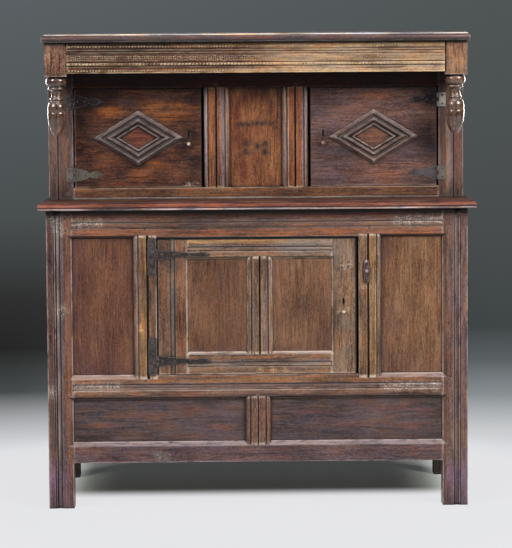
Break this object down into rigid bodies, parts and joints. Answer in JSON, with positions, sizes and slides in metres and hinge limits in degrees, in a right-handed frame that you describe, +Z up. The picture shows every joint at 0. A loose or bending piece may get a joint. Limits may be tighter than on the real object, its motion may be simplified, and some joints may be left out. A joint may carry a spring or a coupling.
{
  "type": "court cupboard",
  "caption": "Two-stage joined oak cupboard: a set-back upper stage with two doors under a canopy with turned pendants, over a panelled base with a framed door.",
  "frame": {"origin": "on the floor, under the middle of the whole outline", "axes": "+Z up; the front with the doors faces -Y; +X to the right seen from the front"},
  "size_m": [1.428, 0.56, 1.556],
  "materials": {
    "frame_oak": "dark waxed oak, rubbed",
    "panel_oak": "waxed oak, mid brown",
    "worn_oak": "oak worn golden on the ridges",
    "plain_oak": "dry unpolished oak",
    "iron": "pitted wrought iron"
  },
  "bodies": {
    "root": {"apron_muntin": "frame_oak", "apron_panels": "panel_oak", "back_boards": "plain_oak", "back_rails": "plain_oak", "base_bottom_rail": "frame_oak", "base_mid_rail": "frame_oak", "base_muntin_left": "frame_oak", "base_muntin_right": "frame_oak", "base_panel_left": "panel_oak", "base_panel_right": "panel_oak", "base_top_rail": "frame_oak", "button_pin": "iron", "door_stops": "plain_oak", "floor_boards": "plain_oak", "frame_pegs": "frame_oak", "frieze_rail": "worn_oak", "front_stile_left": "frame_oak", "front_stile_right": "frame_oak", "hinge_frame_plates": "iron", "ledge_front_board": "frame_oak", "ledge_rear_board": "frame_oak", "pendant_post_left": "frame_oak", "pendant_post_right": "frame_oak", "rear_stile_left": "plain_oak", "rear_stile_right": "plain_oak", "side_panels_left": "panel_oak", "side_panels_right": "panel_oak", "side_rails_left": "frame_oak", "side_rails_right": "frame_oak", "soffit_board": "plain_oak", "top_boards": "frame_oak", "upper_bottom_rail": "frame_oak", "upper_muntin_left": "frame_oak", "upper_muntin_right": "frame_oak", "upper_panel": "panel_oak", "upper_stile_left": "frame_oak", "upper_stile_right": "frame_oak", "upper_top_rail": "frame_oak"},
    "upper_left_door": {"upper_left_door_board": "panel_oak", "upper_left_door_lozenge": "frame_oak", "upper_left_door_hinges": "iron", "upper_left_door_lock_case": "iron", "upper_left_door_knob": "iron"},
    "upper_right_door": {"upper_right_door_board": "panel_oak", "upper_right_door_lozenge": "frame_oak", "upper_right_door_hinges": "iron", "upper_right_door_lock_case": "iron", "upper_right_door_knob": "iron"},
    "lower_door": {"lower_door_stiles": "frame_oak", "lower_door_rails": "frame_oak", "lower_door_muntin": "frame_oak", "lower_door_panels": "panel_oak", "lower_door_pegs": "frame_oak", "lower_door_straps": "iron", "lower_door_lock_case": "iron", "lower_door_knob": "iron"},
    "upper_left_bolt": {"upper_left_door_bolt": "iron"},
    "upper_right_bolt": {"upper_right_door_bolt": "iron"},
    "lower_bolt": {"lower_door_bolt": "iron"},
    "turn_button": {"turn_button": "iron"}
  },
  "joints": [
    {"name": "upper_left_door_hinge", "type": "hinge", "parent": "root", "child": "upper_left_door", "pos_m": [-0.6035, -0.1315, 1.216], "axis": [0, 0, -1], "range_deg": [0, 95]},
    {"name": "upper_right_door_hinge", "type": "hinge", "parent": "root", "child": "upper_right_door", "pos_m": [0.6035, -0.1315, 1.216], "axis": [0, 0, 1], "range_deg": [0, 95]},
    {"name": "lower_door_hinge", "type": "hinge", "parent": "root", "child": "lower_door", "pos_m": [-0.32775, -0.2515, 0.664], "axis": [0, 0, -1], "range_deg": [0, 165]},
    {"name": "upper_left_bolt_slide", "type": "slide", "parent": "upper_left_door", "child": "upper_left_bolt", "axis": [1, 0, 0], "range_m": [0, 0.012]},
    {"name": "upper_right_bolt_slide", "type": "slide", "parent": "upper_right_door", "child": "upper_right_bolt", "axis": [-1, 0, 0], "range_m": [0, 0.012]},
    {"name": "lower_bolt_slide", "type": "slide", "parent": "lower_door", "child": "lower_bolt", "axis": [1, 0, 0], "range_m": [0, 0.012]},
    {"name": "turn_button_pivot", "type": "hinge", "parent": "root", "child": "turn_button", "pos_m": [0.357, -0.248, 0.776], "axis": [0, 1, 0], "range_deg": [-90, 90]}
  ]
}
